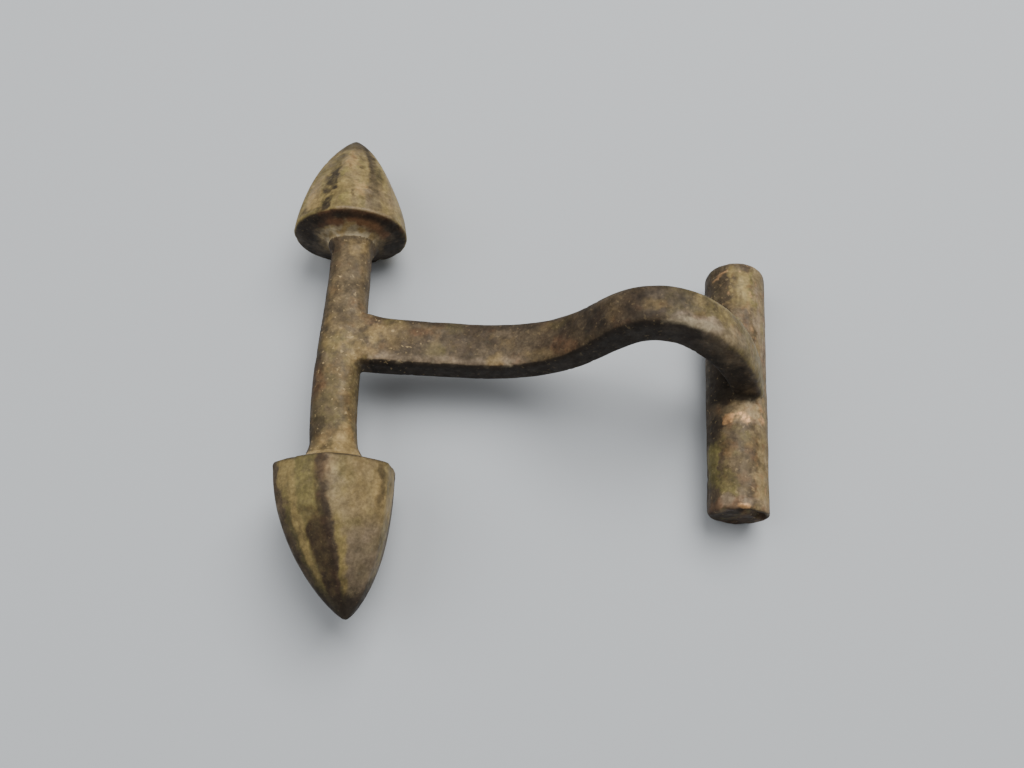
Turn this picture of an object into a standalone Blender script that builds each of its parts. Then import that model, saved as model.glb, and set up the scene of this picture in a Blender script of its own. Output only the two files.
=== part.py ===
"""A small cast bronze brooch whose pin is lost.

A crossbar with a faceted, pointed knob at each end carries a straight leg. The leg rises into an arched bow,
which comes down on the middle of a round rod. All of it is one casting. It lies on its two knobs and its rod.

X runs from the crossbar to the rod and Y runs along them. Z is up, and everything is in metres.
The casting is worn and a little crooked, so its two bars lean away from each other.
"""

import math

import bmesh
import bpy
import numpy as np

MM = 0.001

# Knobs: the radius runs to the ridges, the turn is the angle of the first ridge above +X, and the drift is
# how far the tip has strayed towards +X. A roundness of 1 has no ridges; the rims are rounder than the faces
FAR_KNOB_RADIUS = 6.5 * MM
FAR_KNOB_LENGTH = 14.2 * MM
FAR_KNOB_TURN = 30.0
FAR_KNOB_DRIFT = -0.3 * MM
FAR_RIM_ROUNDNESS = 0.85
FAR_SIDE_FULLNESS = 1.68
FAR_KNOB_FLATNESS = 0.85
NEAR_KNOB_RADIUS = 6.25 * MM
NEAR_KNOB_LENGTH = 13.9 * MM
NEAR_KNOB_TURN = 26.0
NEAR_KNOB_DRIFT = 2.0 * MM
NEAR_RIM_ROUNDNESS = 0.5
NEAR_SIDE_FULLNESS = 2.0
NEAR_KNOB_FLATNESS = 1.0
KNOB_FACES = 6
FACE_ROUNDNESS = 0.38
RIM_REACH = 0.55
TIP_BLUNTNESS = 0.78
DRIFT_CURVE = 1.5
UNDERSIDE_DEPTH = 1.2 * MM
NECK_REACH = 0.5 * MM
NECK_FILLET = 1.6 * MM

# Crossbar, between the two knobs
CROSSBAR_SPAN = 28.5 * MM
CROSSBAR_SHIFT = -0.15 * MM
CROSSBAR_LEAN = 4.3
STEM_WIDTH = 4.7 * MM
STEM_FAR_WIDTH = 4.4 * MM
STEM_HEIGHT = 4.3 * MM
STEM_SWERVE = 0.7 * MM
FAR_END_SWERVE = -0.1 * MM
FAR_KNOB_OFFSET = -0.4 * MM
STEM_SQUARENESS = 2.6

# Rod
ROD_DISTANCE = 42.6 * MM
ROD_LENGTH = 28.8 * MM
ROD_SHIFT = -1.6 * MM
ROD_LEAN = 2.8
ROD_FAR_RADIUS = 3.3 * MM
ROD_NEAR_RADIUS = 3.05 * MM
ROD_FAR_ROUNDING = 1.2 * MM
ROD_NEAR_ROUNDING = 0.35 * MM

# Leg and bow; an ease is how far a bend reaches, as a share of its length or height, and a swerve is how far
# the middle line strays towards the far side
LEG_WIDTH = 5.5 * MM
LEG_SWERVE = 0.2 * MM
LEG_THICKNESS = 4.0 * MM
LEG_END_THICKNESS = 3.8 * MM
LEG_START_DROP = 0.15 * MM
LEG_END_DROP = 0.45 * MM
LEG_FLARE = 0.6 * MM
FLARE_LENGTH = 1.3 * MM
RAMP_LENGTH = 19.0 * MM
RAMP_THICKNESS = 3.6 * MM
RAMP_FOOT_EASE = 0.73
RAMP_CROWN_EASE = 0.32
BOW_WIDTH = 4.5 * MM
BOW_THICKNESS = 4.6 * MM
BOW_HEIGHT = 16.8 * MM
BOW_SWERVE = 0.8 * MM
CROWN_TO_ROD = 10.3 * MM
DESCENT_CROWN_EASE = 0.37
DESCENT_FOOT_EASE = 0.92
FOOT_SLANT = 3.1 * MM
FOOT_SHIFT = 1.2 * MM
FOOT_SWERVE = -1.7 * MM
FOOT_WIDTH = 4.5 * MM
FOOT_THICKNESS = 3.3 * MM
NEAR_SQUARENESS = 5.0
FAR_SQUARENESS = 4.0
UNDERSIDE_FLAT = 0.86

# How finely the forms are divided
CROSSBAR_SIDES = 36
KNOB_STEPS = 10
NECK_STEPS = 3
STEM_STEPS = 18
ROD_SIDES = 28
ROUNDING_STEPS = 4
BOW_SIDES = 24
LEG_STEPS = 14
RAMP_STEPS = 18
DESCENT_STEPS = 18


def face_share(angle, turn, roundness):
    """Radius of the worn, faceted section at an angle, as a share of the radius at its ridges."""
    half_face = math.pi / KNOB_FACES
    from_ridge = (angle - math.radians(turn)) % (2 * half_face)
    flat_sided = math.cos(half_face) / math.cos(from_ridge - half_face)
    return roundness + (1 - roundness) * flat_sided


def flat_share(angle, flatness):
    """Radius at an angle, as a share, of a circle pressed flat to this share of its height."""
    return (math.cos(angle) ** 2 + (math.sin(angle) / flatness) ** 2) ** -0.5


def oval_radius(angle, half_width, half_height, squareness):
    """Radius of a rounded oblong at an angle."""
    across = abs(math.cos(angle) / half_width) ** squareness
    up = abs(math.sin(angle) / half_height) ** squareness
    return (across + up) ** (-1 / squareness)


def smooth(share):
    """Eases a share from 0 to 1."""
    share = min(max(share, 0.0), 1.0)
    return share * share * (3 - 2 * share)


def circle_angles(sides, turn=0.0):
    return [math.radians(turn) + 2 * math.pi * index / sides for index in range(sides)]


def rim_radius(angle, radius, turn, roundness, flatness):
    """Radius of a knob's rim at an angle."""
    return radius * face_share(angle, turn, roundness) * flat_share(angle, flatness)


def knob_drop(radius, turn, roundness, flatness):
    """How far a knob's rim reaches below its own axis."""
    angles = circle_angles(CROSSBAR_SIDES, turn)
    return max(-rim_radius(angle, radius, turn, roundness, flatness) * math.sin(angle) for angle in angles)


def crossbar_height(along):
    """Height of the crossbar's axis, which rests on its two knobs."""
    far_height = knob_drop(FAR_KNOB_RADIUS, FAR_KNOB_TURN, FAR_RIM_ROUNDNESS, FAR_KNOB_FLATNESS)
    near_height = knob_drop(NEAR_KNOB_RADIUS, NEAR_KNOB_TURN, NEAR_RIM_ROUNDNESS, NEAR_KNOB_FLATNESS)
    return near_height + (far_height - near_height) * (along / CROSSBAR_SPAN + 0.5)


def crossbar_turn(along):
    """Angle of the first ridge, which turns a little from the near knob to the far one."""
    share = min(max(along / CROSSBAR_SPAN + 0.5, 0.0), 1.0)
    return NEAR_KNOB_TURN + (FAR_KNOB_TURN - NEAR_KNOB_TURN) * share


def knob_offset(along):
    """How far a knob sits to the side of the crossbar's axis."""
    return FAR_KNOB_OFFSET if along > 0 else 0.0


def crossbar_centre(along, drift):
    """A point of the crossbar's axis; along is measured from its middle towards the far knob."""
    lean = math.radians(CROSSBAR_LEAN)
    reach = along + CROSSBAR_SHIFT
    return np.array([-reach * math.sin(lean) + drift, reach * math.cos(lean), crossbar_height(along)])


def crossbar_ring(along, drift, radius_at):
    """One section of the crossbar, square to its axis, with a point on each ridge."""
    lean = math.radians(CROSSBAR_LEAN)
    across = np.array([math.cos(lean), math.sin(lean), 0.0])
    up = np.array([0.0, 0.0, 1.0])
    centre = crossbar_centre(along, drift)
    points = []
    for angle in circle_angles(CROSSBAR_SIDES, crossbar_turn(along)):
        radius = radius_at(angle)
        points.append(centre + radius * (math.cos(angle) * across + math.sin(angle) * up))
    return points


def knob_rings(side, radius, length, turn, drift, rim_roundness, fullness, flatness):
    """Sections of one knob from its base to just short of its tip; side is 1 for far and -1 for near."""
    rings = []
    for step in range(KNOB_STEPS):
        share = math.sin(0.5 * math.pi * step / KNOB_STEPS)
        width = radius * (1 - share**fullness) ** TIP_BLUNTNESS
        along = side * (CROSSBAR_SPAN / 2 + share * length)
        roundness = rim_roundness + (FACE_ROUNDNESS - rim_roundness) * smooth(share / RIM_REACH)
        sizes = (width, turn, roundness, flatness)
        strayed = knob_offset(along) + drift * share**DRIFT_CURVE
        rings.append(crossbar_ring(along, strayed, lambda angle: rim_radius(angle, *sizes)))
    return rings


def stem_rings():
    """Sections of the stem from the near knob to the far one, with the knobs' undersides at its ends."""
    rings = []
    half = CROSSBAR_SPAN / 2
    plain = half - UNDERSIDE_DEPTH - NECK_FILLET
    depths = [0.5 * UNDERSIDE_DEPTH, UNDERSIDE_DEPTH]
    depths += [UNDERSIDE_DEPTH + NECK_FILLET * step / NECK_STEPS for step in range(1, NECK_STEPS + 1)]
    stations = [depth - half for depth in depths]
    stations += [plain * (2 * step / STEM_STEPS - 1) for step in range(1, STEM_STEPS)]
    stations += [half - depth for depth in reversed(depths)]
    for along in stations:
        if along > 0:
            rim = (FAR_KNOB_RADIUS, crossbar_turn(along), FAR_RIM_ROUNDNESS, FAR_KNOB_FLATNESS)
        else:
            rim = (NEAR_KNOB_RADIUS, crossbar_turn(along), NEAR_RIM_ROUNDNESS, NEAR_KNOB_FLATNESS)
        depth = half - abs(along)
        swerve = FAR_END_SWERVE * smooth(along / half)
        swerve -= STEM_SWERVE * math.sin(math.pi * (0.5 - along / CROSSBAR_SPAN) ** 2)
        swerve += (knob_offset(along) - swerve) * (1 - smooth(depth / UNDERSIDE_DEPTH))
        width = STEM_WIDTH + (STEM_FAR_WIDTH - STEM_WIDTH) * smooth(along / half)
        rings.append(crossbar_ring(along, swerve, stem_radius(rim, width, depth)))
    return rings


def stem_radius(rim_sizes, width, depth):
    """Gives the section at a depth under a knob: it narrows to the stem, steeply and then in a fillet."""
    cone = min(depth / UNDERSIDE_DEPTH, 1.0)
    fillet = smooth((depth - UNDERSIDE_DEPTH) / NECK_FILLET)

    def radius_at(angle):
        stem = oval_radius(angle, width / 2, STEM_HEIGHT / 2, STEM_SQUARENESS)
        rim = rim_radius(angle, *rim_sizes)
        neck = stem + NECK_REACH
        if cone < 1.0:
            return rim + (neck - rim) * cone
        return neck + (stem - neck) * fillet

    return radius_at


def crossbar():
    """Rings and end points of the whole crossbar, from the near tip to the far tip."""
    near_sizes = [NEAR_KNOB_RADIUS, NEAR_KNOB_LENGTH, NEAR_KNOB_TURN, NEAR_KNOB_DRIFT]
    far_sizes = [FAR_KNOB_RADIUS, FAR_KNOB_LENGTH, FAR_KNOB_TURN, FAR_KNOB_DRIFT]
    near = knob_rings(-1, *near_sizes, NEAR_RIM_ROUNDNESS, NEAR_SIDE_FULLNESS, NEAR_KNOB_FLATNESS)
    far = knob_rings(1, *far_sizes, FAR_RIM_ROUNDNESS, FAR_SIDE_FULLNESS, FAR_KNOB_FLATNESS)
    near_tip = crossbar_centre(-CROSSBAR_SPAN / 2 - NEAR_KNOB_LENGTH, NEAR_KNOB_DRIFT)
    far_tip = crossbar_centre(CROSSBAR_SPAN / 2 + FAR_KNOB_LENGTH, FAR_KNOB_OFFSET + FAR_KNOB_DRIFT)
    return near[::-1] + stem_rings() + far, near_tip, far_tip


def rod_radius(along):
    """Radius of the rod, which is also the height of its axis, because it rests along its whole length."""
    return ROD_NEAR_RADIUS + (ROD_FAR_RADIUS - ROD_NEAR_RADIUS) * (along / ROD_LENGTH + 0.5)


def rod():
    """Rings and end points of the rod, from its near end face to its far end face."""
    lean = math.radians(ROD_LEAN)
    across = np.array([math.cos(lean), -math.sin(lean), 0.0])
    up = np.array([0.0, 0.0, 1.0])
    half = ROD_LENGTH / 2
    near_end = []
    far_end = []
    for step in range(ROUNDING_STEPS + 1):
        turn = 0.5 * math.pi * step / ROUNDING_STEPS
        back = 1 - math.sin(turn)
        inward = 1 - math.cos(turn)
        near_end.append((ROD_NEAR_ROUNDING * back - half, ROD_NEAR_ROUNDING * inward))
        far_end.append((half - ROD_FAR_ROUNDING * back, ROD_FAR_ROUNDING * inward))
    stations = near_end[::-1] + far_end
    rings = []
    centres = []
    for along, inset in stations:
        reach = along + ROD_SHIFT
        x = ROD_DISTANCE + reach * math.sin(lean)
        y = reach * math.cos(lean)
        centre = np.array([x, y, rod_radius(along)])
        radius = rod_radius(along) - inset
        ring = []
        for angle in circle_angles(ROD_SIDES):
            ring.append(centre + radius * (math.cos(angle) * across + math.sin(angle) * up))
        rings.append(ring)
        centres.append(centre)
    return rings, centres[0], centres[-1]


def bezier(points, share):
    """A point of a cubic curve and its direction."""
    a, b, c, d = [np.array(point) for point in points]
    rest = 1 - share
    place = rest**3 * a + 3 * rest**2 * share * b + 3 * rest * share**2 * c + share**3 * d
    slope = 3 * rest**2 * (b - a) + 6 * rest * share * (c - b) + 3 * share**2 * (d - c)
    return place, slope / np.linalg.norm(slope)


def between(first, last, share):
    """A size on its smooth way from one to another."""
    return first + (last - first) * smooth(share)


def bow_curves():
    """Curves of the middle line in the upright plane: the leg, the ramp up to the crown, and the descent."""
    leg_start = crossbar_height(0.0) - LEG_START_DROP
    leg_end = crossbar_height(0.0) - LEG_END_DROP
    leg_middle = (leg_start + leg_end) / 2
    crown_height = BOW_HEIGHT - BOW_THICKNESS / 2
    crown_x = ROD_DISTANCE - CROWN_TO_ROD
    ramp_x = crown_x - RAMP_LENGTH
    foot_x = ROD_DISTANCE + FOOT_SHIFT
    landing = rod_radius(-ROD_SHIFT)
    foot_height = landing + DESCENT_FOOT_EASE * (crown_height - landing)
    leg = [(0.0, leg_start), (ramp_x / 2, leg_middle), (ramp_x / 2, leg_middle), (ramp_x, leg_end)]
    ramp = [(ramp_x, leg_end), (ramp_x + RAMP_FOOT_EASE * RAMP_LENGTH, leg_end)]
    ramp += [(crown_x - RAMP_CROWN_EASE * RAMP_LENGTH, crown_height), (crown_x, crown_height)]
    descent = [(crown_x, crown_height), (crown_x + DESCENT_CROWN_EASE * CROWN_TO_ROD, crown_height)]
    descent += [(foot_x - FOOT_SLANT, foot_height), (foot_x, landing)]
    return leg, ramp, descent


def bow_stations():
    """Middle line of leg and bow: place and direction in the upright plane, swerve, width and thickness."""
    leg, ramp, descent = bow_curves()
    stations = []
    for step in range(LEG_STEPS):
        share = step / LEG_STEPS
        place, direction = bezier(leg, share)
        flare = LEG_FLARE * math.exp(-max(place[0] - STEM_WIDTH / 2, 0.0) / FLARE_LENGTH)
        thickness = LEG_THICKNESS + (LEG_END_THICKNESS - LEG_THICKNESS) * place[0] / leg[-1][0]
        stations.append((place, direction, LEG_SWERVE + flare / 2, LEG_WIDTH + flare, thickness))
    hollow = RAMP_THICKNESS - (LEG_END_THICKNESS + BOW_THICKNESS) / 2
    for step in range(RAMP_STEPS):
        share = step / RAMP_STEPS
        place, direction = bezier(ramp, share)
        swerve = between(LEG_SWERVE, BOW_SWERVE, share)
        thickness = between(LEG_END_THICKNESS, BOW_THICKNESS, share) + hollow * math.sin(math.pi * share) ** 2
        stations.append((place, direction, swerve, between(LEG_WIDTH, BOW_WIDTH, share), thickness))
    for step in range(DESCENT_STEPS + 1):
        share = step / DESCENT_STEPS
        place, direction = bezier(descent, share)
        swerve = between(BOW_SWERVE, FOOT_SWERVE, share)
        thickness = between(BOW_THICKNESS, FOOT_THICKNESS, share)
        stations.append((place, direction, swerve, between(BOW_WIDTH, FOOT_WIDTH, share), thickness))
    return stations


def bow():
    """Rings and end points of leg and bow, a rounded oblong with a flat underside and a crisp near edge."""
    rings = []
    across = np.array([0.0, 1.0, 0.0])
    for place, direction, swerve, width, thickness in bow_stations():
        centre = np.array([place[0], swerve, place[1]])
        up = np.array([-direction[1], 0.0, direction[0]])
        ring = []
        for angle in circle_angles(BOW_SIDES):
            squareness = FAR_SQUARENESS if math.cos(angle) > 0 else NEAR_SQUARENESS
            radius = oval_radius(angle, width / 2, thickness / 2, squareness)
            rise = max(radius * math.sin(angle), -UNDERSIDE_FLAT * thickness / 2)
            ring.append(centre + radius * math.cos(angle) * across + rise * up)
        rings.append(ring)
    first = sum(rings[0]) / BOW_SIDES
    last = sum(rings[-1]) / BOW_SIDES
    return rings, first, last


def solid_from_rings(name, rings, first, last, shift):
    """Joins rings into one closed body, with a fan of faces to the point at each end."""
    body = bmesh.new()
    rows = []
    for ring in rings:
        rows.append([body.verts.new(point + shift) for point in ring])
    sides = len(rows[0])
    for row, following in zip(rows[:-1], rows[1:]):
        for index in range(sides):
            after = (index + 1) % sides
            body.faces.new((row[index], row[after], following[after], following[index]))
    for point, row in ((first, rows[0]), (last, rows[-1])):
        end = body.verts.new(point + shift)
        for index in range(sides):
            body.faces.new((row[index], row[(index + 1) % sides], end))
    bmesh.ops.recalc_face_normals(body, faces=body.faces)
    mesh = bpy.data.meshes.new(name)
    body.to_mesh(mesh)
    body.free()
    solid = bpy.data.objects.new(name, mesh)
    bpy.context.collection.objects.link(solid)
    return solid


def resting_shift(bodies):
    """Moves the brooch so that the middle of its box's underside is at the origin."""
    corners = []
    for rings, first, last in bodies:
        points = np.array([point for ring in rings for point in ring] + [first, last])
        corners += [points.min(axis=0), points.max(axis=0)]
    low = np.min(corners, axis=0)
    high = np.max(corners, axis=0)
    return -np.array([(low[0] + high[0]) / 2, (low[1] + high[1]) / 2, low[2]])


def bronze():
    """Old bronze with a dark olive skin."""
    material = bpy.data.materials.new("bronze")
    material.use_nodes = True
    shader = material.node_tree.nodes["Principled BSDF"]
    shader.inputs["Base Color"].default_value = (0.085, 0.07, 0.045, 1.0)
    shader.inputs["Metallic"].default_value = 0.6
    shader.inputs["Roughness"].default_value = 0.45
    return material


def unite(solid, other):
    """Melts another body into the solid, as it was in the casting."""
    other.hide_render = True
    other.display_type = "WIRE"
    join = solid.modifiers.new("join_" + other.name, "BOOLEAN")
    join.operation = "UNION"
    join.solver = "EXACT"
    join.object = other


def main():
    for old in list(bpy.data.objects):
        bpy.data.objects.remove(old, do_unlink=True)
    bodies = {"crossbar": crossbar(), "leg_and_bow": bow(), "rod": rod()}
    shift = resting_shift(bodies.values())
    brooch = solid_from_rings("fibula_brooch", *bodies["crossbar"], shift)
    for name in ("leg_and_bow", "rod"):
        unite(brooch, solid_from_rings(name, *bodies[name], shift))
    brooch.data.materials.append(bronze())
    brooch.data.shade_smooth()
    brooch.data.set_sharp_from_angle(angle=math.radians(40.0))


main()
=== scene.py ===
"""Looks of a small, worn cast bronze brooch whose pin is lost.

One surface replaces the solid: the same forms at a finer step, melted together, worn, pitted and chipped,
and covered with an old brown and olive skin. Lengths are in millimetres until the mesh is made.
"""

import functools
import math

import bmesh
import bpy
import numpy as np
from mathutils import Matrix, Vector


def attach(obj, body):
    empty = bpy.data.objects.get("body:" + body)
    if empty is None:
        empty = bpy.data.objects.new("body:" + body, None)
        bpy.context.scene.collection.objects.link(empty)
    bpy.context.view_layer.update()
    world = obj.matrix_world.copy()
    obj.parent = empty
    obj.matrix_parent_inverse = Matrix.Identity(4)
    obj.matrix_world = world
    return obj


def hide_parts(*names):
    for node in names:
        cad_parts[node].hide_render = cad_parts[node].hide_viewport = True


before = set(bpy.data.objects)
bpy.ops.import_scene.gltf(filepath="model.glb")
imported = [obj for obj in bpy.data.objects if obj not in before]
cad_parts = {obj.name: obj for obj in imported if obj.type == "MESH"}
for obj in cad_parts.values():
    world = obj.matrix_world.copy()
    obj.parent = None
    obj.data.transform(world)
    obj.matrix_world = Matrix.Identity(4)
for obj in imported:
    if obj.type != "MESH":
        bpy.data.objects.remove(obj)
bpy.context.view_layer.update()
MM = 0.001

# Knobs: radius at the ridges, angle of the first ridge above +X, drift of the tip and offset of the base
# towards +X, how round the rim is, how full the sides are, and the height as a share of the width.
# They are 0.25 mm longer than the solid's knobs, because melting rounds their tips by about that much.
FAR_KNOB = {
    "side": 1, "radius": 6.5, "length": 14.45, "turn": 30.0, "drift": -0.3,
    "offset": -0.4, "rim": 0.85, "full": 1.68, "flat": 0.85,
}
NEAR_KNOB = {
    "side": -1, "radius": 6.25, "length": 14.15, "turn": 26.0, "drift": 2.0,
    "offset": 0.0, "rim": 0.5, "full": 2.0, "flat": 1.0,
}
KNOB_FACES = 6
FACE_ROUNDNESS = 0.38
RIM_REACH = 0.55
TIP_BLUNTNESS = 0.78
DRIFT_CURVE = 1.5
UNDERSIDE_DEPTH = 1.2
NECK_REACH = 0.5
NECK_FILLET = 1.6

# Crossbar
CROSSBAR_SPAN = 28.5
CROSSBAR_SHIFT = -0.15
CROSSBAR_LEAN = math.radians(4.3)
STEM_WIDTH = 4.7
STEM_FAR_WIDTH = 4.4
STEM_HEIGHT = 4.3
STEM_SWERVE = 0.7
FAR_END_SWERVE = -0.1
STEM_SQUARENESS = 2.6

# Rod
ROD_DISTANCE = 42.6
ROD_LENGTH = 28.8
ROD_SHIFT = -1.6
ROD_LEAN = math.radians(2.8)
ROD_FAR_RADIUS = 3.3
ROD_NEAR_RADIUS = 3.05
ROD_FAR_ROUNDING = 1.2
ROD_NEAR_ROUNDING = 0.35

# Leg and bow
LEG_WIDTH = 5.5
LEG_SWERVE = 0.2
LEG_THICKNESS = 4.0
LEG_END_THICKNESS = 3.8
LEG_START_DROP = 0.15
LEG_END_DROP = 0.45
LEG_FLARE = 0.6
FLARE_LENGTH = 1.3
RAMP_LENGTH = 19.0
RAMP_THICKNESS = 3.6
RAMP_FOOT_EASE = 0.73
RAMP_CROWN_EASE = 0.32
BOW_WIDTH = 4.5
BOW_THICKNESS = 4.6
BOW_HEIGHT = 16.8
BOW_SWERVE = 0.8
CROWN_TO_ROD = 10.3
DESCENT_CROWN_EASE = 0.37
DESCENT_FOOT_EASE = 0.92
FOOT_SLANT = 3.1
FOOT_SHIFT = 1.2
FOOT_SWERVE = -1.7
FOOT_WIDTH = 4.5
FOOT_THICKNESS = 3.3
NEAR_SQUARENESS = 5.0
FAR_SQUARENESS = 4.0
UNDERSIDE_FLAT = 0.86

# How finely the forms are divided, and the size of one cell of the melted surface
CROSSBAR_SIDES = 180
KNOB_STEPS = 60
NECK_STEPS = 12
STEM_STEPS = 80
ROD_SIDES = 120
ROD_STEPS = 60
ROUNDING_STEPS = 6
ROD_MIDDLE_SHARE = 0.94
BOW_SIDES = 96
LEG_STEPS = 60
RAMP_STEPS = 70
DESCENT_STEPS = 70
CELL = 0.194

# Evening out of the melted surface, strongest in the creases round the leg's joint with the stem
RELAX_ROUNDS = 12
RELAX_STEP = 0.5
RELAX_BACK = -0.52
JOINT_STRENGTH = 0.55
JOINT_RADIUS = 2.7
JOINT_REACH = 1.0
JOINT_HALF_WIDTH = 3.6
JOINT_HALF_HEIGHT = 3.0
JOINT_EASE = 0.5

# Which points of the skin belong to a knob, the stem or the rod: how far from its middle line, and how far
# towards +X a knob's side and the stem can reach
KNOB_MARGIN = 0.3
KNOB_REACH = 7.5
KNOB_SIDE_END = 10.0
STEM_REACH = 3.6
STEM_SIDE_END = 3.0
ROD_MARGIN = 0.12
POINTS_AT_ONCE = 20000

# The paint of leg and bow is placed by the distance past the end of the leg's rubbed edge
RUBBED_END = 19.6


def smooth(low, high, value):
    """Eases from 0 at low to 1 at high."""
    share = np.clip((value - low) / (high - low), 0.0, 1.0)
    return share * share * (3 - 2 * share)


def ease(share):
    return smooth(0.0, 1.0, share)


def between(first, last, share):
    """A size on its smooth way from one to another."""
    return first + (last - first) * ease(share)


def circle_angles(sides, turn=0.0):
    return math.radians(turn) + 2 * math.pi * np.arange(sides) / sides


# The forms

UP = np.array([0.0, 0.0, 1.0])


def bar_axes(lean):
    """Directions along and across a bar that leans this far off +Y towards -X."""
    along = np.array([-math.sin(lean), math.cos(lean), 0.0])
    across = np.array([math.cos(lean), math.sin(lean), 0.0])
    return along, across


def face_share(angle, turn, roundness):
    """Radius of the worn, faceted section at an angle, as a share of the radius at its ridges."""
    half_face = math.pi / KNOB_FACES
    from_ridge = (angle - np.radians(turn)) % (2 * half_face)
    flat_sided = math.cos(half_face) / np.cos(from_ridge - half_face)
    return roundness + (1 - roundness) * flat_sided


def flat_share(angle, flatness):
    """Radius at an angle, as a share, of a circle pressed flat to this share of its height."""
    return (np.cos(angle) ** 2 + (np.sin(angle) / flatness) ** 2) ** -0.5


def rim_radius(angle, knob, radius, turn, roundness):
    return radius * face_share(angle, turn, roundness) * flat_share(angle, knob["flat"])


def oval_radius(angle, half_width, half_height, squareness):
    """Radius of a rounded oblong at an angle."""
    across = np.abs(np.cos(angle) / half_width) ** squareness
    up = np.abs(np.sin(angle) / half_height) ** squareness
    return (across + up) ** (-1 / squareness)


def knob_drop(knob):
    angles = circle_angles(CROSSBAR_SIDES, knob["turn"])
    return np.max(-rim_radius(angles, knob, knob["radius"], knob["turn"], knob["rim"]) * np.sin(angles))


FAR_HEIGHT = knob_drop(FAR_KNOB)
NEAR_HEIGHT = knob_drop(NEAR_KNOB)


def crossbar_height(along):
    return NEAR_HEIGHT + (FAR_HEIGHT - NEAR_HEIGHT) * (along / CROSSBAR_SPAN + 0.5)


def crossbar_turn(along):
    share = np.clip(along / CROSSBAR_SPAN + 0.5, 0.0, 1.0)
    return NEAR_KNOB["turn"] + (FAR_KNOB["turn"] - NEAR_KNOB["turn"]) * share


def crossbar_drift(along):
    """How far the crossbar's middle line strays towards +X."""
    half = CROSSBAR_SPAN / 2
    swerve = FAR_END_SWERVE * ease(along / half)
    swerve -= STEM_SWERVE * np.sin(math.pi * np.clip(0.5 - along / CROSSBAR_SPAN, 0.0, 1.0) ** 2)
    offset = np.where(along > 0, FAR_KNOB["offset"], NEAR_KNOB["offset"])
    swerve += (offset - swerve) * (1 - ease((half - np.abs(along)) / UNDERSIDE_DEPTH))
    far = FAR_KNOB["drift"] * np.clip((along - half) / FAR_KNOB["length"], 0.0, 1.0) ** DRIFT_CURVE
    near = NEAR_KNOB["drift"] * np.clip((-along - half) / NEAR_KNOB["length"], 0.0, 1.0) ** DRIFT_CURVE
    return swerve + far + near


def crossbar_centre(along):
    reach = along + CROSSBAR_SHIFT
    x = -reach * math.sin(CROSSBAR_LEAN) + crossbar_drift(along)
    return np.array([x, reach * math.cos(CROSSBAR_LEAN), crossbar_height(along)])


def upright_ring(centre, angles, radii, across):
    return centre + radii[:, None] * (np.cos(angles)[:, None] * across + np.sin(angles)[:, None] * UP)


def crossbar_ring(along, radius_at):
    _, across = bar_axes(CROSSBAR_LEAN)
    angles = circle_angles(CROSSBAR_SIDES, crossbar_turn(along))
    return upright_ring(crossbar_centre(along), angles, radius_at(angles), across)


def knob_rings(knob):
    rings = []
    for step in range(KNOB_STEPS):
        share = math.sin(0.5 * math.pi * step / KNOB_STEPS)
        width = knob["radius"] * (1 - share ** knob["full"]) ** TIP_BLUNTNESS
        along = knob["side"] * (CROSSBAR_SPAN / 2 + share * knob["length"])
        roundness = between(knob["rim"], FACE_ROUNDNESS, share / RIM_REACH)

        def radius_at(angles):
            return rim_radius(angles, knob, width, knob["turn"], roundness)

        rings.append(crossbar_ring(along, radius_at))
    return rings


def stem_radius(knob, turn, width, depth):
    """Gives the section at a depth under a knob."""
    cone = min(depth / UNDERSIDE_DEPTH, 1.0)
    fillet = smooth(0.0, NECK_FILLET, depth - UNDERSIDE_DEPTH)

    def radius_at(angles):
        stem = oval_radius(angles, width / 2, STEM_HEIGHT / 2, STEM_SQUARENESS)
        rim = rim_radius(angles, knob, knob["radius"], turn, knob["rim"])
        neck = stem + NECK_REACH
        if cone < 1.0:
            return rim + (neck - rim) * cone
        return neck + (stem - neck) * fillet

    return radius_at


def stem_rings():
    half = CROSSBAR_SPAN / 2
    plain = half - UNDERSIDE_DEPTH - NECK_FILLET
    depths = [UNDERSIDE_DEPTH * step / NECK_STEPS for step in range(1, NECK_STEPS + 1)]
    depths += [UNDERSIDE_DEPTH + NECK_FILLET * step / NECK_STEPS for step in range(1, NECK_STEPS + 1)]
    stations = [depth - half for depth in depths]
    stations += [plain * (2 * step / STEM_STEPS - 1) for step in range(1, STEM_STEPS)]
    stations += [half - depth for depth in reversed(depths)]
    rings = []
    for along in stations:
        knob = FAR_KNOB if along > 0 else NEAR_KNOB
        width = between(STEM_WIDTH, STEM_FAR_WIDTH, along / half)
        rings.append(crossbar_ring(along, stem_radius(knob, crossbar_turn(along), width, half - abs(along))))
    return rings


def crossbar():
    near_tip = crossbar_centre(-CROSSBAR_SPAN / 2 - NEAR_KNOB["length"])
    far_tip = crossbar_centre(CROSSBAR_SPAN / 2 + FAR_KNOB["length"])
    return knob_rings(NEAR_KNOB)[::-1] + stem_rings() + knob_rings(FAR_KNOB), near_tip, far_tip


def rod_radius(along):
    return ROD_NEAR_RADIUS + (ROD_FAR_RADIUS - ROD_NEAR_RADIUS) * (along / ROD_LENGTH + 0.5)


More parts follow.
